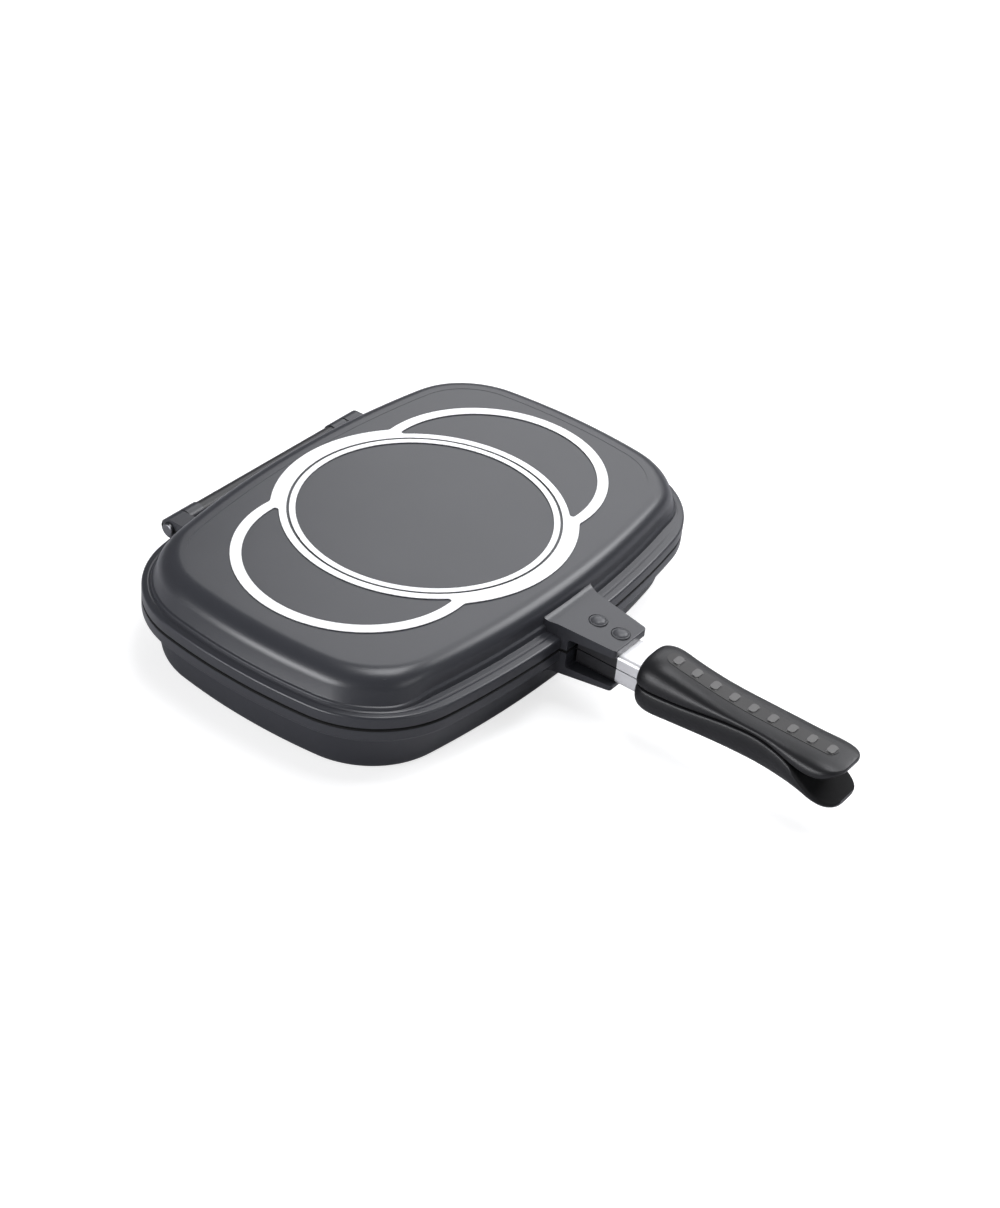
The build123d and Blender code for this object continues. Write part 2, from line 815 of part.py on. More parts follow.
def grip_pieces(name, side, body, tang_face, latch, latch_height):
    """One grip, its strip and screws, and the magnet or keeper at the parting face."""
    grip, strip = finished_grip(body, side, tang_face)
    face = crest_face(side)
    low = face + magnet_recess if side > 0 else face - magnet_recess - latch_height
    mouth = low - magnet_height if side > 0 else low
    pocket_height = latch_height + magnet_height
    grip -= disc(magnet_radius + magnet_fit, pocket_height, mouth, magnet_place)
    screws = [screw(place, screw_face(place, side), side, tang_face) for place in screw_places]
    return {
        name + "_grip": grip,
        name + "_grip_strip": strip,
        name + "_grip_screws": Compound(children=screws),
        latch: disc(magnet_radius, latch_height, low, magnet_place),
    }


nodes = {"upper_pan": upper_casting(), "lower_pan": lower_casting(), "rim_seal": rim_seal()}
nodes |= hinge_pieces()
nodes |= tang_pieces()
upper_latch = ("keeper_plate", keeper_height)
lower_latch = ("grip_magnet", magnet_height)
nodes |= grip_pieces("upper", 1, upper_grip_body(), upper_tang_face, *upper_latch)
nodes |= grip_pieces("lower", -1, lower_grip_body(), lower_tang_face, *lower_latch)

os.makedirs("parts", exist_ok=True)
for name, shape in nodes.items():
    export_step(shape, "parts/" + name + ".step")
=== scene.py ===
import math

import bpy
from mathutils import Matrix, Vector


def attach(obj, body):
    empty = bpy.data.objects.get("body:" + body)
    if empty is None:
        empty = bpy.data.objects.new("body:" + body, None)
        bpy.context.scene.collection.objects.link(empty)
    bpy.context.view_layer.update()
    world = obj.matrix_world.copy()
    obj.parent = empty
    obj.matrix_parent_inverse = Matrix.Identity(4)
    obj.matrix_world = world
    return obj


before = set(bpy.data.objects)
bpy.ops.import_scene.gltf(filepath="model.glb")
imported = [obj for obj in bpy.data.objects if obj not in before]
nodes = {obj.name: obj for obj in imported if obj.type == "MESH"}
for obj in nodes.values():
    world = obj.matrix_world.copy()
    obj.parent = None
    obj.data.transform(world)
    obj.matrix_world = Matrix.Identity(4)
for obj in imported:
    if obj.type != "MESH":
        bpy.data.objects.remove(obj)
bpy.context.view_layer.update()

scene = bpy.context.scene

# --- studio ---------------------------------------------------------------
# The pan stands closed on a plain pale floor. The camera looks down on it over the front left
# corner, at the angle, distance and tilt of the photograph.

CAMERA_AZIMUTH = math.radians(-56.34469)
CAMERA_ELEVATION = math.radians(35.95678)
CAMERA_ROLL = math.radians(-6.20729)
CAMERA_DISTANCE = 1.499045
CAMERA_TARGET = Vector((-0.0045396, -0.06701, 0.0379))
CAMERA_LENS = 71.231
CAMERA_SENSOR = 36.0
CAMERA_NEAR = 0.05
CAMERA_FAR = 20.0

back = Vector((
    math.sin(CAMERA_AZIMUTH) * math.cos(CAMERA_ELEVATION),
    -math.cos(CAMERA_AZIMUTH) * math.cos(CAMERA_ELEVATION),
    math.sin(CAMERA_ELEVATION),
))
right = Vector((math.cos(CAMERA_AZIMUTH), math.sin(CAMERA_AZIMUTH), 0.0))
up = back.cross(right)
tilted_right = math.cos(CAMERA_ROLL) * right - math.sin(CAMERA_ROLL) * up
tilted_up = math.sin(CAMERA_ROLL) * right + math.cos(CAMERA_ROLL) * up
camera_data = bpy.data.cameras.new("photo_camera")
camera_data.lens = CAMERA_LENS
camera_data.sensor_width = CAMERA_SENSOR
camera_data.clip_start = CAMERA_NEAR
camera_data.clip_end = CAMERA_FAR
camera = bpy.data.objects.new("photo_camera", camera_data)
scene.collection.objects.link(camera)
axes = Matrix((tilted_right, tilted_up, back)).transposed()
camera_place = CAMERA_TARGET + CAMERA_DISTANCE * back
camera.matrix_world = Matrix.Translation(camera_place) @ axes.to_4x4()
scene.camera = camera
scene.view_settings.view_transform = "Standard"


def shown_to_camera(tree, lit, shown, output):
    """Shows one shader to the camera, while another one takes part in the light."""
    path = tree.nodes.new("ShaderNodeLightPath")
    either = tree.nodes.new("ShaderNodeMixShader")
    tree.links.new(path.outputs["Is Camera Ray"], either.inputs["Fac"])
    tree.links.new(lit, either.inputs[1])
    tree.links.new(shown, either.inputs[2])
    tree.links.new(either.outputs["Shader"], tree.nodes[output].inputs["Surface"])


# White paper for the camera, with a faint shadow. A grey table for the light.
FLOOR_SIZE = 12.0
FLOOR_TONE = (0.5, 0.5, 0.5, 1.0)
FLOOR_ROUGHNESS = 0.9
FLOOR_GLOW = 0.72
TABLE_TONE = (0.5, 0.5, 0.52, 1.0)
WHITE = (1.0, 1.0, 1.0, 1.0)
floor_mesh = bpy.data.meshes.new("floor")
half_floor = FLOOR_SIZE / 2
floor_mesh.from_pydata(
    [(-half_floor, -half_floor, 0), (half_floor, -half_floor, 0),
     (half_floor, half_floor, 0), (-half_floor, half_floor, 0)],
    [], [(0, 1, 2, 3)],
)
floor = bpy.data.objects.new("floor", floor_mesh)
scene.collection.objects.link(floor)
floor_paint = bpy.data.materials.new("pale_floor")
floor_paint.use_nodes = True
floor_tree = floor_paint.node_tree
floor_shader = floor_tree.nodes["Principled BSDF"]
floor_shader.inputs["Base Color"].default_value = FLOOR_TONE
floor_shader.inputs["Roughness"].default_value = FLOOR_ROUGHNESS
floor_shader.inputs["Emission Color"].default_value = WHITE
floor_shader.inputs["Emission Strength"].default_value = FLOOR_GLOW
table = floor_tree.nodes.new("ShaderNodeBsdfDiffuse")
table.inputs["Color"].default_value = TABLE_TONE
shown_to_camera(
    floor_tree, table.outputs["BSDF"], floor_shader.outputs["BSDF"], "Material Output",
)
floor_mesh.materials.append(floor_paint)

# White paper all round for the camera. For the light, a dim room that darkens a little upwards.
ROOM_TONE = (0.93, 0.95, 1.0, 1.0)
ROOM_TOP = 0.9
ROOM_LOW_LIGHT = 0.17
ROOM_HIGH_LIGHT = 0.14
world = bpy.data.worlds.new("studio_air")
world.use_nodes = True
air = world.node_tree
paper = air.nodes["Background"]
paper.inputs["Color"].default_value = WHITE
paper.inputs["Strength"].default_value = 1.0
room = air.nodes.new("ShaderNodeBackground")
room.inputs["Color"].default_value = ROOM_TONE
direction = air.nodes.new("ShaderNodeTexCoord")
height = air.nodes.new("ShaderNodeSeparateXYZ")
air.links.new(direction.outputs["Generated"], height.inputs[0])
fading = air.nodes.new("ShaderNodeMapRange")
fading.inputs["From Min"].default_value = 0.0
fading.inputs["From Max"].default_value = ROOM_TOP
fading.inputs["To Min"].default_value = ROOM_LOW_LIGHT
fading.inputs["To Max"].default_value = ROOM_HIGH_LIGHT
air.links.new(height.outputs["Z"], fading.inputs["Value"])
air.links.new(fading.outputs["Result"], room.inputs["Strength"])
shown_to_camera(air, room.outputs["Background"], paper.outputs["Background"], "World Output")
scene.world = world


LAMP_TONE = (0.97, 0.975, 1.0)


def softbox(name, place, target, size, power):
    """Rectangular area light that faces a target; the camera doesn't see it."""
    data = bpy.data.lights.new(name, "AREA")
    data.shape = "RECTANGLE"
    data.size, data.size_y = size
    data.energy = power
    data.color = LAMP_TONE
    light = bpy.data.objects.new(name, data)
    scene.collection.objects.link(light)
    look = (Vector(target) - Vector(place)).to_track_quat("-Z", "Y")
    light.matrix_world = Matrix.Translation(place) @ look.to_matrix().to_4x4()
    light.visible_camera = False


# Each box: where it hangs, what it faces, its size in metres and its power in watts.
PAN_MIDDLE = (0, 0, 0.05)
PAN_FRONT = (0, -0.1, 0.05)
softbox("main_box", (1.62, 0.32, 1.42), PAN_MIDDLE, (2.3, 1.5), 26)
softbox("left_box", (-1.55, 0.35, 0.38), PAN_MIDDLE, (1.2, 0.44), 19)
softbox("front_box", (-0.1, -1.9, 0.7), PAN_FRONT, (1.0, 0.6), 4)
softbox("overhead_box", (0.2, -0.25, 2.1), (0, 0, 0), (1.0, 0.8), 22)
softbox("edge_box", (1.25, -0.8, 1.25), PAN_FRONT, (0.9, 0.8), 16)

# --- lower pan --------------------------------------------------------------
# Deep cast aluminium half with a flanged rim that holds the seal. It stands on its ring pattern.
# Outside it carries a dark anthracite coat with a fine sprayed grain, inside a smoother release
# coat with pale specks.


def node_tree_group(name, inputs, outputs):
    """Shader group with its sockets, each a (name, kind) pair, and nothing between them yet."""
    group = bpy.data.node_groups.new(name, "ShaderNodeTree")
    for way, sockets in (("INPUT", inputs), ("OUTPUT", outputs)):
        for label, kind in sockets:
            group.interface.new_socket(label, in_out=way, socket_type="NodeSocket" + kind)
    return group, group.nodes.new("NodeGroupInput"), group.nodes.new("NodeGroupOutput")


def math_node(tree, operation, *values):
    """Math node with sockets or numbers as its inputs; returns its output."""
    node = tree.nodes.new("ShaderNodeMath")
    node.operation = operation
    for socket, value in zip(node.inputs, values):
        if isinstance(value, (int, float)):
            socket.default_value = value
        else:
            tree.links.new(value, socket)
    return node.outputs[0]


def mix_colours(tree, factor, first, second):
    """Colour that runs from the first to the second with a factor; each a socket or a tuple."""
    mix = tree.nodes.new("ShaderNodeMix")
    mix.data_type = "RGBA"
    tree.links.new(factor, mix.inputs["Factor"])
    for label, value in (("A", first), ("B", second)):
        if isinstance(value, tuple):
            mix.inputs[label].default_value = (*value, 1.0)
        else:
            tree.links.new(value, mix.inputs[label])
    return mix.outputs["Result"]


GRAIN_DETAIL = 3.0
GRAIN_ROUGHNESS = 0.6
BLOTCH_DETAIL = 2.0


def sprayed_grain():
    """Fine sprayed grain: a height for bump and a slow tone that varies over the surface."""
    group, come, go = node_tree_group(
        "sprayed_grain",
        [("Vector", "Vector"), ("Grain Scale", "Float"), ("Blotch Scale", "Float")],
        [("Height", "Float"), ("Tone", "Float")],
    )
    grain = group.nodes.new("ShaderNodeTexNoise")
    grain.inputs["Detail"].default_value = GRAIN_DETAIL
    grain.inputs["Roughness"].default_value = GRAIN_ROUGHNESS
    blotch = group.nodes.new("ShaderNodeTexNoise")
    blotch.inputs["Detail"].default_value = BLOTCH_DETAIL
    for texture, scale in ((grain, "Grain Scale"), (blotch, "Blotch Scale")):
        group.links.new(come.outputs["Vector"], texture.inputs["Vector"])
        group.links.new(come.outputs[scale], texture.inputs["Scale"])
    group.links.new(grain.outputs["Fac"], go.inputs["Height"])
    group.links.new(blotch.outputs["Fac"], go.inputs["Tone"])
    return group


# The outline of both rims, in metres: arcs on the long sides, the short sides and the corners.
PAN_HALF_LENGTH = 0.180
PAN_HALF_WIDTH = 0.1255
LONG_RADIUS = 0.705
SHORT_RADIUS = 0.404
CORNER_RADIUS = 0.071
CORNER_CENTRE = (0.105863, 0.045599)


def rim_inset_group():
    """Distance of a point inwards from the rim's outline, in metres."""
    group, come, go = node_tree_group("rim_inset", [("Vector", "Vector")], [("Inset", "Float")])
    split = group.nodes.new("ShaderNodeSeparateXYZ")
    group.links.new(come.outputs["Vector"], split.inputs[0])
    x = math_node(group, "ABSOLUTE", split.outputs["X"])
    y = math_node(group, "ABSOLUTE", split.outputs["Y"])

    def inside(radius, centre_x, centre_y):
        """Radius less the distance from a centre."""
        square_x = math_node(group, "POWER", math_node(group, "SUBTRACT", x, centre_x), 2.0)
        square_y = math_node(group, "POWER", math_node(group, "SUBTRACT", y, centre_y), 2.0)
        distance = math_node(group, "SQRT", math_node(group, "ADD", square_x, square_y))
        return math_node(group, "SUBTRACT", radius, distance)

    along = inside(LONG_RADIUS, 0.0, PAN_HALF_WIDTH - LONG_RADIUS)
    across = inside(SHORT_RADIUS, PAN_HALF_LENGTH - SHORT_RADIUS, 0.0)
    corner = inside(CORNER_RADIUS, *CORNER_CENTRE)
    beyond_x = math_node(group, "GREATER_THAN", x, CORNER_CENTRE[0])
    beyond_y = math_node(group, "GREATER_THAN", y, CORNER_CENTRE[1])
    in_corner = math_node(group, "MULTIPLY", beyond_x, beyond_y)
    sides = math_node(group, "MINIMUM", along, across)
    both = math_node(group, "MINIMUM", sides, corner)
    difference = math_node(group, "SUBTRACT", both, sides)
    inset = math_node(group, "MULTIPLY_ADD", in_corner, difference, sides)
    group.links.new(inset, go.inputs["Inset"])
    return group


GRAIN = sprayed_grain()
RIM_INSET = rim_inset_group()


def place_group(tree, group, values, vector):
    """Puts a group into a material with its own values."""
    node = tree.nodes.new("ShaderNodeGroup")
    node.node_tree = group
    for label, value in values.items():
        node.inputs[label].default_value = value
    tree.links.new(vector, node.inputs["Vector"])
    return node


def new_finish(name, roughness, metallic=0.0, specular=0.5):
    """Material with Object coordinates ready; returns (material, tree, shader, coordinates)."""
    finish = bpy.data.materials.new(name)
    finish.use_nodes = True
    tree = finish.node_tree
    shader = tree.nodes["Principled BSDF"]
    shader.inputs["Roughness"].default_value = roughness
    shader.inputs["Metallic"].default_value = metallic
    shader.inputs["Specular IOR Level"].default_value = specular
    coordinates = tree.nodes.new("ShaderNodeTexCoord").outputs["Object"]
    return finish, tree, shader, coordinates


def bumped(tree, shader, height, distance):
    """Bump of a height in metres on the shader's normal."""
    bump = tree.nodes.new("ShaderNodeBump")
    bump.inputs["Distance"].default_value = distance
    bump.inputs["Strength"].default_value = 1.0
    tree.links.new(height, bump.inputs["Height"])
    tree.links.new(bump.outputs["Normal"], shader.inputs["Normal"])


FINE_DEPTH = 0.00002


def grained_finish(name, roughness, scales, tones, depth=FINE_DEPTH, specular=0.5):
    """Sprayed or moulded skin: (grain, blotch) scales, (dark, light) tones, grain depth."""
    finish, tree, shader, coordinates = new_finish(name, roughness, specular=specular)
    values = dict(zip(("Grain Scale", "Blotch Scale"), scales))
    grain = place_group(tree, GRAIN, values, coordinates)
    tree.links.new(mix_colours(tree, grain.outputs["Tone"], *tones), shader.inputs["Base Color"])
    bumped(tree, shader, grain.outputs["Height"], depth)
    return finish


def reopened(finish):
    """Parts of a finish for masks over it: tree, shader, coordinates, x y z, present colour."""
    tree = finish.node_tree
    shader = tree.nodes["Principled BSDF"]
    coordinates = tree.nodes.new("ShaderNodeTexCoord").outputs
    split = tree.nodes.new("ShaderNodeSeparateXYZ")
    tree.links.new(coordinates["Object"], split.inputs[0])
    colour = shader.inputs["Base Color"].links[0].from_socket
    return tree, shader, coordinates, split.outputs, colour


def roughened(tree, shader, mask, masked, plain):
    """Roughness that is one value under a mask and another one beside it."""
    extra = math_node(tree, "MULTIPLY", mask, masked - plain)
    tree.links.new(math_node(tree, "ADD", extra, plain), shader.inputs["Roughness"])


COAT_ROUGHNESS = 0.31
COAT_GRAIN = (2600.0, 18.0)
COAT_TONES = ((0.026, 0.027, 0.032), (0.034, 0.035, 0.041))
SPECK_SCALE = 620.0
SPECK_SIZE = 0.16
RELEASE_COAT = (0.022, 0.022, 0.024)
SPECK_TONE = (0.12, 0.12, 0.125)
RING_WHITE = (0.9, 0.9, 0.9)
PARTING = 0.042
SEAM_HALF = 0.00115
SEAM_PAINTED_SHADE = (0.004, 0.004, 0.004)
SEAM_ROUGHNESS = 0.9


def casting_finish(name, ring_test, ring_height, inner_low, inner_high, inner_inset, wall_slope):
    """Coat of one pan: anthracite outside, speckled release coat inside, white ring pattern."""
    finish = grained_finish(name, COAT_ROUGHNESS, COAT_GRAIN, COAT_TONES)
    tree, shader, coordinates, place, outside = reopened(finish)
    specks = tree.nodes.new("ShaderNodeTexVoronoi")
    specks.inputs["Scale"].default_value = SPECK_SCALE
    tree.links.new(coordinates["Object"], specks.inputs["Vector"])
    speck_mask = math_node(tree, "LESS_THAN", specks.outputs["Distance"], SPECK_SIZE)
    inside = mix_colours(tree, speck_mask, RELEASE_COAT, SPECK_TONE)
    inset = place_group(tree, RIM_INSET, {}, coordinates["Object"]).outputs["Inset"]
    lean = math_node(tree, "MULTIPLY", place["Z"], wall_slope)
    upright_inset = math_node(tree, "ADD", inset, lean)
    above = math_node(tree, "GREATER_THAN", place["Z"], inner_low)
    below = math_node(tree, "LESS_THAN", place["Z"], inner_high)
    within = math_node(tree, "GREATER_THAN", upright_inset, inner_inset)
    inner = math_node(tree, "MULTIPLY", math_node(tree, "MULTIPLY", above, below), within)
    coat = mix_colours(tree, inner, outside, inside)
    # Painted shade: a near-black, rough band round the parting line, where the seam between the
    # rims lies in shadow.
    off_seam = math_node(tree, "ABSOLUTE", math_node(tree, "SUBTRACT", place["Z"], PARTING))
    painted_seam_shade = math_node(tree, "LESS_THAN", off_seam, SEAM_HALF)
    coat = mix_colours(tree, painted_seam_shade, coat, SEAM_PAINTED_SHADE)
    ring = math_node(tree, ring_test, place["Z"], ring_height)
    tree.links.new(mix_colours(tree, ring, coat, RING_WHITE), shader.inputs["Base Color"])
    roughened(tree, shader, painted_seam_shade, SEAM_ROUGHNESS, COAT_ROUGHNESS)
    return finish


def wear(finish, *names):
    """Gives CAD nodes one finish in every slot."""
    for name in names:
        mesh = nodes[name].data
        mesh.materials.clear()
        mesh.materials.append(finish)


LOWER_RING_FACE = 0.0004
LOWER_FLOOR = 0.0043
LOWER_RIM = 0.0416
LOWER_WALL_MIDDLE = 0.0155
LOWER_WALL_SLOPE = 0.2
lower_coat = casting_finish(
    "lower_pan_coat", "LESS_THAN", LOWER_RING_FACE,
    LOWER_FLOOR, LOWER_RIM, LOWER_WALL_MIDDLE, LOWER_WALL_SLOPE,
)
wear(lower_coat, "lower_pan")

# The layer of coat on the outer wall and the rim. Its sizes are in millimetres.
ROUNDING_STEPS = ((6.0, 22), (1.5, 8), (0.0, 4))
END_STEPS = 18
CORNER_STEPS = 26
SIDE_STEPS = 34
END_BLEND = (0.2, 0.66)
LAYER_PROUD = 0.16
LAYER_DEEP = 0.5
LAYER_HALF_LENGTH = 180.03
LAYER_SHARP_ANGLE = math.radians(60)


def eased(value, low, high):
    """Smooth step from 0 to 1 between two values."""
    t = min(1.0, max(0.0, (value - low) / (high - low)))
    return t * t * (3.0 - 2.0 * t)


def rounded_path(corners):
    """Points (inset, height) and outward normals along a profile with rounded corners."""
    points, normals = [], []
    for i, (inset, height, radius) in enumerate(corners):
        here = Vector((inset, height))
        if i in (0, len(corners) - 1):
            other = corners[1] if i == 0 else corners[-2]
            run = (Vector(other[:2]) - here).normalized() * (1 if i == 0 else -1)
            points.append(here)
            normals.append(Vector((-run.y, run.x)))
            continue
        come = (here - Vector(corners[i - 1][:2])).normalized()
        go = (Vector(corners[i + 1][:2]) - here).normalized()
        turn = math.acos(max(-1.0, min(1.0, come.dot(go))))
        side = (go - come * come.dot(go)).normalized()
        start = here - come * radius * math.tan(turn / 2)
        steps = next(count for least, count in ROUNDING_STEPS if radius > least)
        for k in range(steps + 1):
            a = turn * k / steps
            points.append(start + (come * math.sin(a) + side * (1 - math.cos(a))) * radius)
            run = come * math.cos(a) + side * math.sin(a)
            normals.append(Vector((-run.y, run.x)))
    return points, normals


def outline_stations():
    """Points all round the rim as (centre, radius, outward direction), in millimetres."""
    long_centre = 1000 * (PAN_HALF_WIDTH - LONG_RADIUS)
    short_centre = 1000 * (PAN_HALF_LENGTH - SHORT_RADIUS)
    corner_x, corner_y = (1000 * value for value in CORNER_CENTRE)
    end_half = math.atan2(corner_y, corner_x - short_centre)
    side_start = math.atan2(corner_y - long_centre, corner_x)
    side_end = math.pi - side_start
    far_corner_end = math.pi - end_half
    end_radius, bend_radius, side_radius = (
        1000 * value for value in (SHORT_RADIUS, CORNER_RADIUS, LONG_RADIUS)
    )
    stations = []
    for turn, sign in ((0.0, 1), (math.pi, -1)):
        near, far = (sign * corner_x, sign * corner_y), (-sign * corner_x, sign * corner_y)
        arcs = (
            ((sign * short_centre, 0), end_radius, -end_half, end_half, END_STEPS),
            (near, bend_radius, end_half, side_start, CORNER_STEPS),
            ((0, sign * long_centre), side_radius, side_start, side_end, SIDE_STEPS),
            (far, bend_radius, side_end, far_corner_end, CORNER_STEPS),
        )
        for centre, radius, first, last, steps in arcs:
            for k in range(steps):
                a = turn + first + (last - first) * k / steps
                stations.append((Vector(centre), radius, Vector((math.cos(a), math.sin(a)))))
    return stations


def sprayed_layer(name, side_profile, end_profile, finish, body):
    """Closed layer of coat round a pan; its profile changes from the long sides to the ends."""
    stations = outline_stations()
    count = len(stations)
    verts, faces = [], []
    for centre, radius, outward in stations:
        share = eased(abs(outward.x), *END_BLEND)
        corners = [
            tuple(s + (e - s) * share for s, e in zip(from_side, from_end))
            for from_side, from_end in zip(side_profile, end_profile)
        ]
        points, normals = rounded_path(corners)
        section = [p + n * LAYER_PROUD for p, n in zip(points, normals)]
        section += [p - n * LAYER_DEEP for p, n in reversed(list(zip(points, normals)))]
        for inset, height in section:
            place = centre + outward * (radius - inset)
            x = max(-LAYER_HALF_LENGTH, min(LAYER_HALF_LENGTH, place.x))
            verts.append((x / 1000, place.y / 1000, height / 1000))
    ring = len(verts) // count
    for i in range(count):
        here, beyond = i * ring, (i + 1) % count * ring
        for k in range(ring):
            after = (k + 1) % ring
            faces.append((here + k, beyond + k, beyond + after, here + after))
    mesh = bpy.data.meshes.new(name)
    mesh.from_pydata(verts, [], faces)
    mesh.validate()
    mesh.shade_smooth()
    mesh.set_sharp_from_angle(angle=LAYER_SHARP_ANGLE)
    mesh.materials.append(finish)
    layer = bpy.data.objects.new(name, mesh)
    scene.collection.objects.link(layer)
    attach(layer, body)


# Corners of a profile: inset from the rim's outline, height, radius of the rounding, all in mm.
LOWER_PROFILE = [
    (27.0, 0.8, 0), (13.56, 0.8, 8.0), (7.0, 32.0, 2.5), (0.0, 33.6, 1.6), (0.0, 40.7, 0),
]
sprayed_layer("lower_pan_layer", LOWER_PROFILE, LOWER_PROFILE, lower_coat, "lower_half")

# --- rim seal ---------------------------------------------------------------
# Moulded ring of dull black silicone. It is pressed into the groove of the lower rim, and seals
# the two halves when the pan is shut.

SEAL_TONES = ((0.028, 0.028, 0.03), (0.04, 0.04, 0.042))
seal_finish = grained_finish(
    "seal_rubber", roughness=0.6, scales=(900.0, 30.0), tones=SEAL_TONES,
)
wear(seal_finish, "rim_seal")

# --- upper pan --------------------------------------------------------------
# Shallow cast aluminium half, coated like the lower one, with grill ribs inside and the same ring
# pattern on top. Its rim closes on the seal, and its knuckles turn on the hinge rod.

UPPER_RING_FACE = 0.0729
UPPER_RIM = 0.0424
CEILING = 0.06895
UPPER_WALL_MIDDLE = 0.0036
UPPER_WALL_SLOPE = -0.2
upper_coat = casting_finish(
    "upper_pan_coat", "GREATER_THAN", UPPER_RING_FACE,
    UPPER_RIM, CEILING, UPPER_WALL_MIDDLE, UPPER_WALL_SLOPE,
)
wear(upper_coat, "upper_pan")
UPPER_SIDE_PROFILE = [
    (0.0, 43.3, 0), (0.0, 50.55, 1.8), (4.3, 51.35, 1.2), (5.6, 51.32, 0.8), (6.9, 51.7, 0.8),
    (9.95, 52.1, 0.5), (10.35, 55.8, 1.2), (11.9, 57.3, 1.2), (12.8, 72.5, 11.0), (27.0, 72.5, 0),
]
UPPER_END_PROFILE = [
    (0.0, 43.3, 0), (0.0, 50.55, 1.8), (3.4, 51.25, 1.0), (4.2, 51.15, 0.5), (4.7, 51.4, 0.4),
    (5.4, 51.6, 0.3), (5.7, 53.6, 0.7), (7.0, 54.2, 0.6), (12.8, 72.5, 14.5), (27.0, 72.5, 0),
]
sprayed_layer(
    "upper_pan_layer", UPPER_SIDE_PROFILE, UPPER_END_PROFILE, upper_coat, "upper_half",
)

# --- hinge ------------------------------------------------------------------
# Steel rod with pressed caps through the cast knuckles, thin wear washers between them, and a
# black spacer tube over the rod in the middle.

STEEL_BLOTCHES = 60.0
STEEL_DEPTH = 0.00001


def steel_finish(name, tones, roughness, scale, stretch, metallic=1.0):
    """Satin steel in (dark, light) tones, with fine lines from finishing along one direction."""
    finish, tree, shader, coordinates = new_finish(name, roughness, metallic=metallic)
    mapping = tree.nodes.new("ShaderNodeMapping")
    mapping.inputs["Scale"].default_value = stretch
    tree.links.new(coordinates, mapping.inputs["Vector"])
    values = {"Grain Scale": scale, "Blotch Scale": STEEL_BLOTCHES}
    grain = place_group(tree, GRAIN, values, mapping.outputs["Vector"])
    tree.links.new(mix_colours(tree, grain.outputs["Height"], *tones), shader.inputs["Base Color"])
    bumped(tree, shader, grain.outputs["Height"], STEEL_DEPTH)
    return finish


ALONG_X = (0.1, 1.0, 1.0)
ROD_TONES = ((0.42, 0.42, 0.43), (0.6, 0.6, 0.61))
rod_steel = steel_finish(
    "rod_steel", tones=ROD_TONES, roughness=0.32, scale=900.0, stretch=ALONG_X,
)
wear(rod_steel, "hinge_rod", "hinge_washers")
CAP_TONES = ((0.16, 0.16, 0.17), (0.24, 0.24, 0.25))
cap_steel = steel_finish(
    "cap_steel", tones=CAP_TONES, roughness=0.3, scale=900.0, stretch=ALONG_X,
)
wear(cap_steel, "hinge_caps")
SLEEVE_TONES = ((0.012, 0.012, 0.013), (0.018, 0.018, 0.02))
sleeve_black = grained_finish(
    "sleeve_black", roughness=0.38, scales=(1800.0, 25.0), tones=SLEEVE_TONES,
)
wear(sleeve_black, "hinge_sleeve")

# --- handle tangs -----------------------------------------------------------
# Folded stainless channels, riveted under the cast brackets and let into the grips. Where they
# run under the brackets they are painted near black and not metallic, as painted shadow.

BRACKET_SHADOW_END = 0.1615
TANG_PAINTED_SHADOW = (0.016, 0.016, 0.018)
TANG_METALLIC = 0.6
TANG_TONES = ((0.8, 0.8, 0.81), (0.92, 0.92, 0.93))
ALONG_Y = (1.0, 0.05, 1.0)
tang_steel = steel_finish(
    "tang_steel", tones=TANG_TONES, roughness=0.4, scale=1400.0, stretch=ALONG_Y,
    metallic=TANG_METALLIC,
)
tree, shader, _, place, bright = reopened(tang_steel)
# Painted shadow: the tangs are near black and not metallic where they run under the brackets.
in_bracket_shadow = math_node(tree, "GREATER_THAN", place["Y"], -BRACKET_SHADOW_END)
tree.links.new(mix_colours(tree, in_bracket_shadow, bright, TANG_PAINTED_SHADOW), shader.inputs["Base Color"])
out_of_bracket_shadow = math_node(tree, "SUBTRACT", 1.0, in_bracket_shadow)
tree.links.new(math_node(tree, "MULTIPLY", out_of_bracket_shadow, TANG_METALLIC), shader.inputs["Metallic"])
wear(tang_steel, "upper_tang", "lower_tang")

# --- rivets -----------------------------------------------------------------
# Two domed aluminium rivets in each bracket, in a dark coat like the castings'. Each head is a
# low dome in a fine rolled collar, and it fills its shallow spot face.

RIVET_TONES = ((0.052, 0.053, 0.058), (0.068, 0.069, 0.075))
rivet_finish = grained_finish(
    "rivet_coat", roughness=0.4, scales=(2600.0, 60.0), tones=RIVET_TONES,
)
wear(rivet_finish, "upper_rivets", "lower_rivets")

RIVET_COUNT = 2
RIVET_FIRST_PLACE = 0.137
RIVET_STEP = 0.017
RIVET_SEAT = 0.01591
RIVET_SEAT_FALL = 0.00123
COLLAR_RADIUS = 0.00525
COLLAR_BEAD = 0.00055
COLLAR_STEPS = 64
BEAD_STEPS = 20
DOME_RADIUS = 0.00495
DOME_FLATNESS = 0.45
DOME_SEGMENTS = 48
DOME_RINGS = 24
HEAD_LIFT = 0.0009


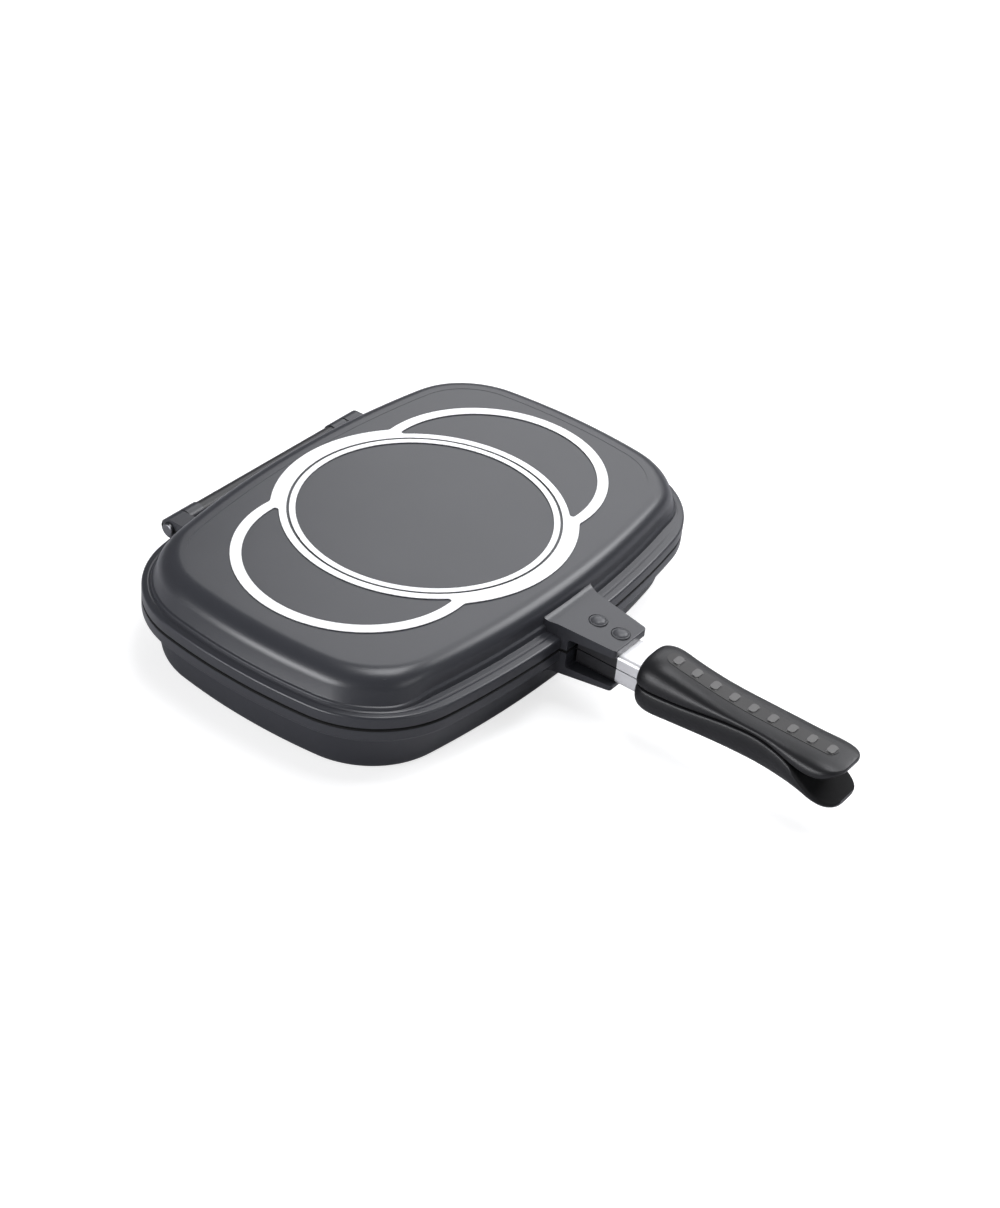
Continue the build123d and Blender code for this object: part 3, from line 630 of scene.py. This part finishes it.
def rivet_head_tree():
    """Node tree: a rolled collar and a dome, on two points of a line."""
    tree = bpy.data.node_groups.new("rivet_heads", "GeometryNodeTree")
    face = tree.interface
    face.new_socket("Geometry", in_out="OUTPUT", socket_type="NodeSocketGeometry")
    for label, kind in (
        ("First", "Vector"), ("Step", "Vector"), ("Collar Radius", "Float"),
        ("Collar Bead", "Float"), ("Collar Lift", "Float"), ("Dome Radius", "Float"),
        ("Dome Flatness", "Float"), ("Dome Lift", "Float"), ("Finish", "Material"),
    ):
        face.new_socket(label, in_out="INPUT", socket_type="NodeSocket" + kind)
    add, link = tree.nodes.new, tree.links.new
    come, go = add("NodeGroupInput").outputs, add("NodeGroupOutput")
    path = add("GeometryNodeCurvePrimitiveCircle")
    section = add("GeometryNodeCurvePrimitiveCircle")
    path.inputs["Resolution"].default_value = COLLAR_STEPS
    section.inputs["Resolution"].default_value = BEAD_STEPS
    link(come["Collar Radius"], path.inputs["Radius"])
    link(come["Collar Bead"], section.inputs["Radius"])
    collar = add("GeometryNodeCurveToMesh")
    link(path.outputs["Curve"], collar.inputs["Curve"])
    link(section.outputs["Curve"], collar.inputs["Profile Curve"])
    dome = add("GeometryNodeMeshUVSphere")
    dome.inputs["Segments"].default_value = DOME_SEGMENTS
    dome.inputs["Rings"].default_value = DOME_RINGS
    link(come["Dome Radius"], dome.inputs["Radius"])
    join = add("GeometryNodeJoinGeometry")
    for part, lift, flatness in (
        (dome.outputs["Mesh"], "Dome Lift", "Dome Flatness"),
        (collar.outputs["Mesh"], "Collar Lift", None),
    ):
        raised = add("GeometryNodeTransform")
        shift, size = add("ShaderNodeCombineXYZ"), add("ShaderNodeCombineXYZ")
        link(come[lift], shift.inputs["Z"])
        for axis in "XYZ":
            size.inputs[axis].default_value = 1.0
        if flatness:
            link(come[flatness], size.inputs["Z"])
        link(part, raised.inputs["Geometry"])
        link(shift.outputs["Vector"], raised.inputs["Translation"])
        link(size.outputs["Vector"], raised.inputs["Scale"])
        link(raised.outputs["Geometry"], join.inputs["Geometry"])
    line, instances = add("GeometryNodeMeshLine"), add("GeometryNodeInstanceOnPoints")
    line.inputs["Count"].default_value = RIVET_COUNT
    link(come["First"], line.inputs["Start Location"])
    link(come["Step"], line.inputs["Offset"])
    link(line.outputs["Mesh"], instances.inputs["Points"])
    link(join.outputs["Geometry"], instances.inputs["Instance"])
    real, smooth = add("GeometryNodeRealizeInstances"), add("GeometryNodeSetShadeSmooth")
    paint = add("GeometryNodeSetMaterial")
    link(instances.outputs["Instances"], real.inputs["Geometry"])
    link(real.outputs["Geometry"], smooth.inputs["Geometry"])
    link(smooth.outputs["Geometry"], paint.inputs["Geometry"])
    link(come["Finish"], paint.inputs["Material"])
    link(paint.outputs["Geometry"], go.inputs["Geometry"])
    return tree


def grown(name, tree, values, finish, body):
    """Plain mesh piece from a node tree and its input values."""
    holder = bpy.data.objects.new(name + "_holder", bpy.data.meshes.new(name + "_holder"))
    scene.collection.objects.link(holder)
    modifier = holder.modifiers.new(name, "NODES")
    modifier.node_group = tree
    for socket in tree.interface.items_tree:
        if socket.in_out == "INPUT" and socket.name in values:
            modifier[socket.identifier] = values[socket.name]
    ready = holder.evaluated_get(bpy.context.evaluated_depsgraph_get())
    mesh = bpy.data.meshes.new_from_object(ready)
    mesh.name = name
    holder.modifiers.remove(modifier)
    bpy.data.objects.remove(holder)
    mesh.materials.clear()
    mesh.materials.append(finish)
    piece = bpy.data.objects.new(name, mesh)
    scene.collection.objects.link(piece)
    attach(piece, body)


rivet_heads = rivet_head_tree()
for half, side in (("upper", 1.0), ("lower", -1.0)):
    rivet_values = {
        "First": (0.0, -RIVET_FIRST_PLACE, PARTING + side * RIVET_SEAT),
        "Step": (0.0, -RIVET_STEP, -side * RIVET_SEAT_FALL),
        "Collar Radius": COLLAR_RADIUS, "Collar Bead": COLLAR_BEAD,
        "Collar Lift": side * HEAD_LIFT,
        "Dome Radius": DOME_RADIUS, "Dome Flatness": DOME_FLATNESS,
        "Dome Lift": side * HEAD_LIFT,
        "Finish": rivet_finish,
    }
    grown(half + "_rivet_heads", rivet_heads, rivet_values, rivet_finish, half + "_half")

# --- grips ------------------------------------------------------------------
# Two moulded phenolic halves that part along a wavy line, with a fine matte moulded skin. The
# faces that they turn towards each other are dull, and painted darker as painted shade.

GRIP_ROUGHNESS = 0.36
GRIP_TONES = ((0.0085, 0.0085, 0.0095), (0.013, 0.013, 0.0145))
INNER_ROUGHNESS = 0.85
INNER_PAINTED_SHADE = (0.003, 0.003, 0.0035)
INNER_FACE_DEPTH = 0.001
grip_finish = grained_finish(
    "grip_phenolic", roughness=GRIP_ROUGHNESS, scales=(2200.0, 35.0), tones=GRIP_TONES,
    depth=0.00006, specular=0.36,
)
tree, shader, coordinates, place, skin = reopened(grip_finish)
# Painted shade: faces turned towards the parting line, inside the grips' lips, are painted near
# black.
facing = tree.nodes.new("ShaderNodeSeparateXYZ")
tree.links.new(coordinates["Normal"], facing.inputs[0])
from_parting = math_node(tree, "SUBTRACT", place["Z"], PARTING)
turned = math_node(tree, "MULTIPLY", from_parting, facing.outputs["Z"])
inner = math_node(tree, "LESS_THAN", turned, -INNER_FACE_DEPTH)
tree.links.new(mix_colours(tree, inner, skin, INNER_PAINTED_SHADE), shader.inputs["Base Color"])
roughened(tree, shader, inner, INNER_ROUGHNESS, GRIP_ROUGHNESS)
wear(grip_finish, "upper_grip", "lower_grip")

# --- grip strips ------------------------------------------------------------
# Soft warm grey rubber strips let into the backs of the grips, with raised cross marks in a
# paler grey.

FIRST_MARK = 0.1965
MARK_PITCH = 0.0136
MARK_HALF_LENGTH = 0.0025
MARK_HALF_WIDTH = 0.0038
MARK_TONE = (0.11, 0.108, 0.106)
STRIP_TONES = ((0.022, 0.021, 0.021), (0.03, 0.029, 0.028))
strip_finish = grained_finish(
    "strip_rubber", roughness=0.55, scales=(2000.0, 40.0), tones=STRIP_TONES, depth=0.00004,
)
tree, shader, _, place, plain = reopened(strip_finish)
run = math_node(tree, "MULTIPLY", place["Y"], -1.0)
run = math_node(tree, "SUBTRACT", run, FIRST_MARK - MARK_PITCH / 2)
run = math_node(tree, "MODULO", run, MARK_PITCH)
away = math_node(tree, "ABSOLUTE", math_node(tree, "SUBTRACT", run, MARK_PITCH / 2))
near_y = math_node(tree, "LESS_THAN", away, MARK_HALF_LENGTH)
aside = math_node(tree, "ABSOLUTE", place["X"])
near_x = math_node(tree, "LESS_THAN", aside, MARK_HALF_WIDTH)
on_mark = math_node(tree, "MULTIPLY", near_y, near_x)
tree.links.new(mix_colours(tree, on_mark, plain, MARK_TONE), shader.inputs["Base Color"])
wear(strip_finish, "upper_grip_strip", "lower_grip_strip")

# --- screws, magnet and keeper ----------------------------------------------
# Countersunk cross screws hold each grip on its tang. A plated magnet in the lower grip pulls a
# steel keeper in the upper one, which holds the pan shut.

EVEN = (1.0, 1.0, 1.0)
SCREW_TONES = ((0.5, 0.5, 0.51), (0.66, 0.66, 0.67))
screw_steel = steel_finish(
    "screw_steel", tones=SCREW_TONES, roughness=0.3, scale=1500.0, stretch=EVEN,
)
wear(screw_steel, "upper_grip_screws", "lower_grip_screws", "keeper_plate")
PLATING_TONES = ((0.55, 0.55, 0.56), (0.62, 0.62, 0.63))
magnet_plate = steel_finish(
    "magnet_plate", tones=PLATING_TONES, roughness=0.22, scale=300.0, stretch=EVEN,
)
wear(magnet_plate, "grip_magnet")
